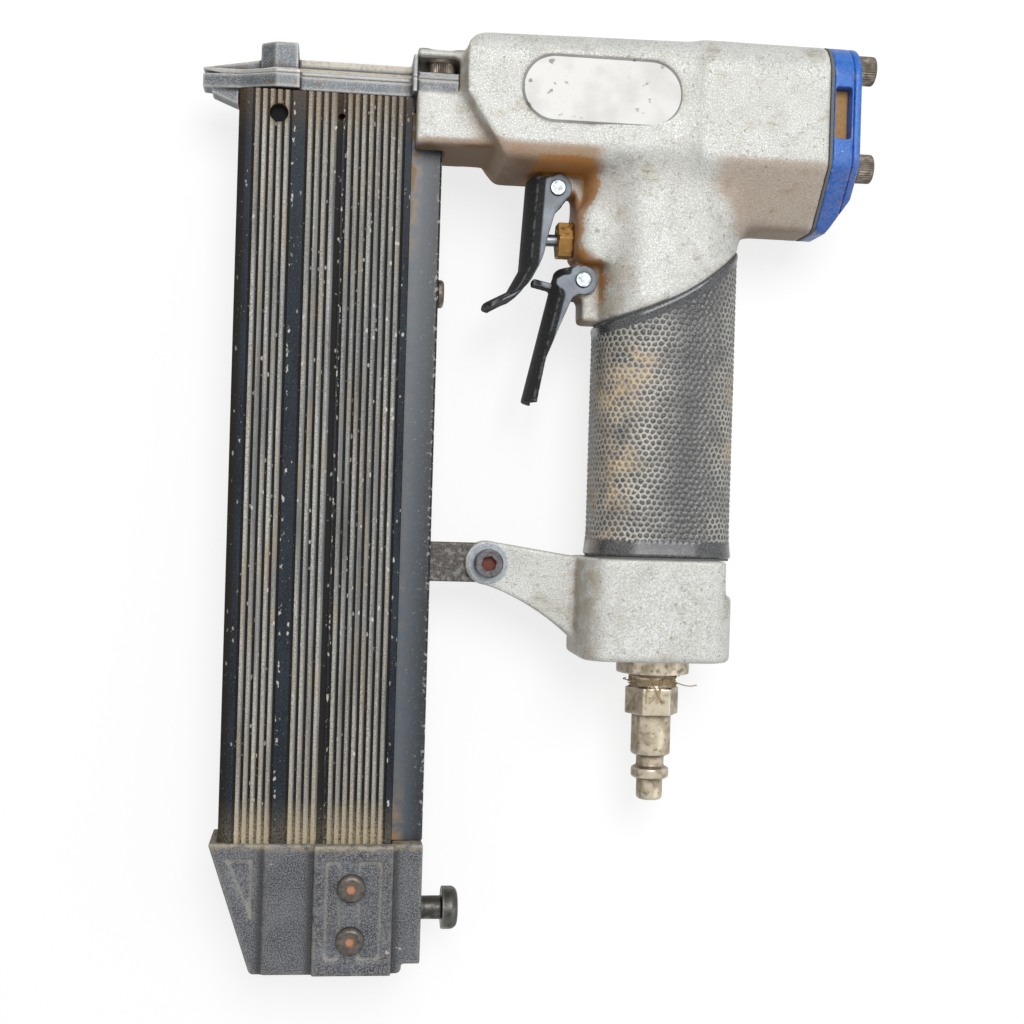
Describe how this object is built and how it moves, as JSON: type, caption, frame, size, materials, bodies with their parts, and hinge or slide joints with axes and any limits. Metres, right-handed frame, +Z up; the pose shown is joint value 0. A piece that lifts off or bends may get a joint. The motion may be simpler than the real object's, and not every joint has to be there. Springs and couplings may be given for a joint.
{
  "type": "pneumatic pin nailer",
  "caption": "Handheld pneumatic pin nailer with a cast body, rubber grip, trigger with safety lever, ribbed side magazine, latch knob and quick connect air plug.",
  "frame": {"origin": "middle of the bounding box's lower face; the tool lies on its flank, as it is put down", "axes": "+X along the drive axis from the nose to the exhaust cover, +Y from the magazine's end cap up to the barrel, +Z up out of the upper flank, which carries the label"},
  "size_m": [0.1962, 0.2762, 0.046],
  "materials": {
    "cast_aluminium": "sand cast, clear lacquer, worn",
    "label_white": "bare printed-label blank, scuffed",
    "blue_paint": "blue paint on cast aluminium, chipped",
    "screw_steel": "zinc plated steel, tarnished",
    "nose_steel": "blued tool steel, worn",
    "black_steel": "black painted pressed steel, worn",
    "black_anodised": "black anodised extrusion, dusty",
    "black_cast": "black painted die casting",
    "bright_steel": "turned steel, worn",
    "spring_steel": "spring steel",
    "brass": "turned brass, dusty",
    "grip_rubber": "pebbled black rubber",
    "seal_rubber": "moulded rubber",
    "filter_felt": "dusty felt",
    "valve_plastic": "moulded acetal",
    "filter_mesh": "perforated sheet"
  },
  "bodies": {
    "frame": {"main_housing": "cast_aluminium", "tail_cap": "cast_aluminium", "label_plate": "label_white", "exhaust_cap": "blue_paint", "exhaust_cover": "blue_paint", "cap_screws": "screw_steel", "nose_screws": "screw_steel", "bracket_screw": "screw_steel", "bracket_washer": "screw_steel", "bracket_nut": "screw_steel", "tail_screws": "screw_steel", "rail_stop_screw": "screw_steel", "rail_dowel": "screw_steel", "trigger_pin": "screw_steel", "lever_pin": "screw_steel", "nose_guide": "nose_steel", "nose_cover": "nose_steel", "rail_bracket": "black_steel", "magazine_rail": "black_anodised", "air_plug": "bright_steel", "inlet_bushing": "bright_steel", "cylinder_liner": "bright_steel", "valve_housing": "brass", "valve_plug": "brass", "grip_sleeve": "grip_rubber", "bumper": "seal_rubber", "valve_o_rings": "seal_rubber", "cap_gasket": "seal_rubber", "tail_gasket": "seal_rubber", "exhaust_filter": "filter_felt", "inlet_filter": "filter_mesh"},
    "trigger": {"trigger": "black_steel"},
    "safety_lever": {"safety_lever": "black_steel"},
    "valve_stem": {"valve_stem": "bright_steel", "valve_spring": "spring_steel"},
    "piston": {"piston": "bright_steel", "piston_o_ring": "seal_rubber", "driver_blade": "bright_steel"},
    "head_valve": {"head_valve": "valve_plastic", "head_valve_o_ring": "seal_rubber", "head_valve_spring": "spring_steel"},
    "magazine": {"magazine_shell": "black_anodised", "end_cap": "black_cast", "end_cap_screws": "screw_steel"},
    "latch": {"latch_knob": "bright_steel", "latch_spring": "spring_steel"},
    "pusher": {"pusher": "bright_steel", "pusher_spring": "spring_steel"}
  },
  "joints": [
    {"name": "safety_lever_squeeze", "type": "hinge", "parent": "frame", "child": "safety_lever", "pos_m": [0.01445, 0.06635, 0.023], "axis": [0, 0, 1], "range_deg": [0, 18], "stiffness_Nm_per_rad": 0.15, "springref_deg": -11.46},
    {"name": "trigger_pull", "type": "hinge", "parent": "frame", "child": "trigger", "pos_m": [0.00605, 0.09315, 0.023], "axis": [0, 0, 1], "range_deg": [0, 6.5]},
    {"name": "valve_stem_slide", "type": "slide", "parent": "frame", "child": "valve_stem", "axis": [1, 0, 0], "range_m": [0, 0.0017]},
    {"name": "magazine_slide", "type": "slide", "parent": "frame", "child": "magazine", "axis": [0, -1, 0], "range_m": [0, 0.11]},
    {"name": "latch_knob_pull", "type": "slide", "parent": "magazine", "child": "latch", "axis": [1, 0, 0], "range_m": [0, 0.0024], "stiffness_N_per_m": 800, "springref_m": -0.002},
    {"name": "pusher_slide", "type": "slide", "parent": "magazine", "child": "pusher", "axis": [0, -1, 0], "range_m": [0, 0.18], "stiffness_N_per_m": 12, "springref_m": -0.2},
    {"name": "piston_drive", "type": "slide", "parent": "frame", "child": "piston", "axis": [-1, 0, 0], "range_m": [0, 0.061]},
    {"name": "head_valve_lift", "type": "slide", "parent": "frame", "child": "head_valve", "axis": [1, 0, 0], "range_m": [0, 0.0025], "stiffness_N_per_m": 1500, "springref_m": -0.002}
  ],
  "couplings": [
    {"joint": "trigger_pull", "follows": "safety_lever_squeeze", "ratio": 0.36},
    {"joint": "valve_stem_slide", "follows": "safety_lever_squeeze", "m_per_rad": 0.00508}
  ]
}
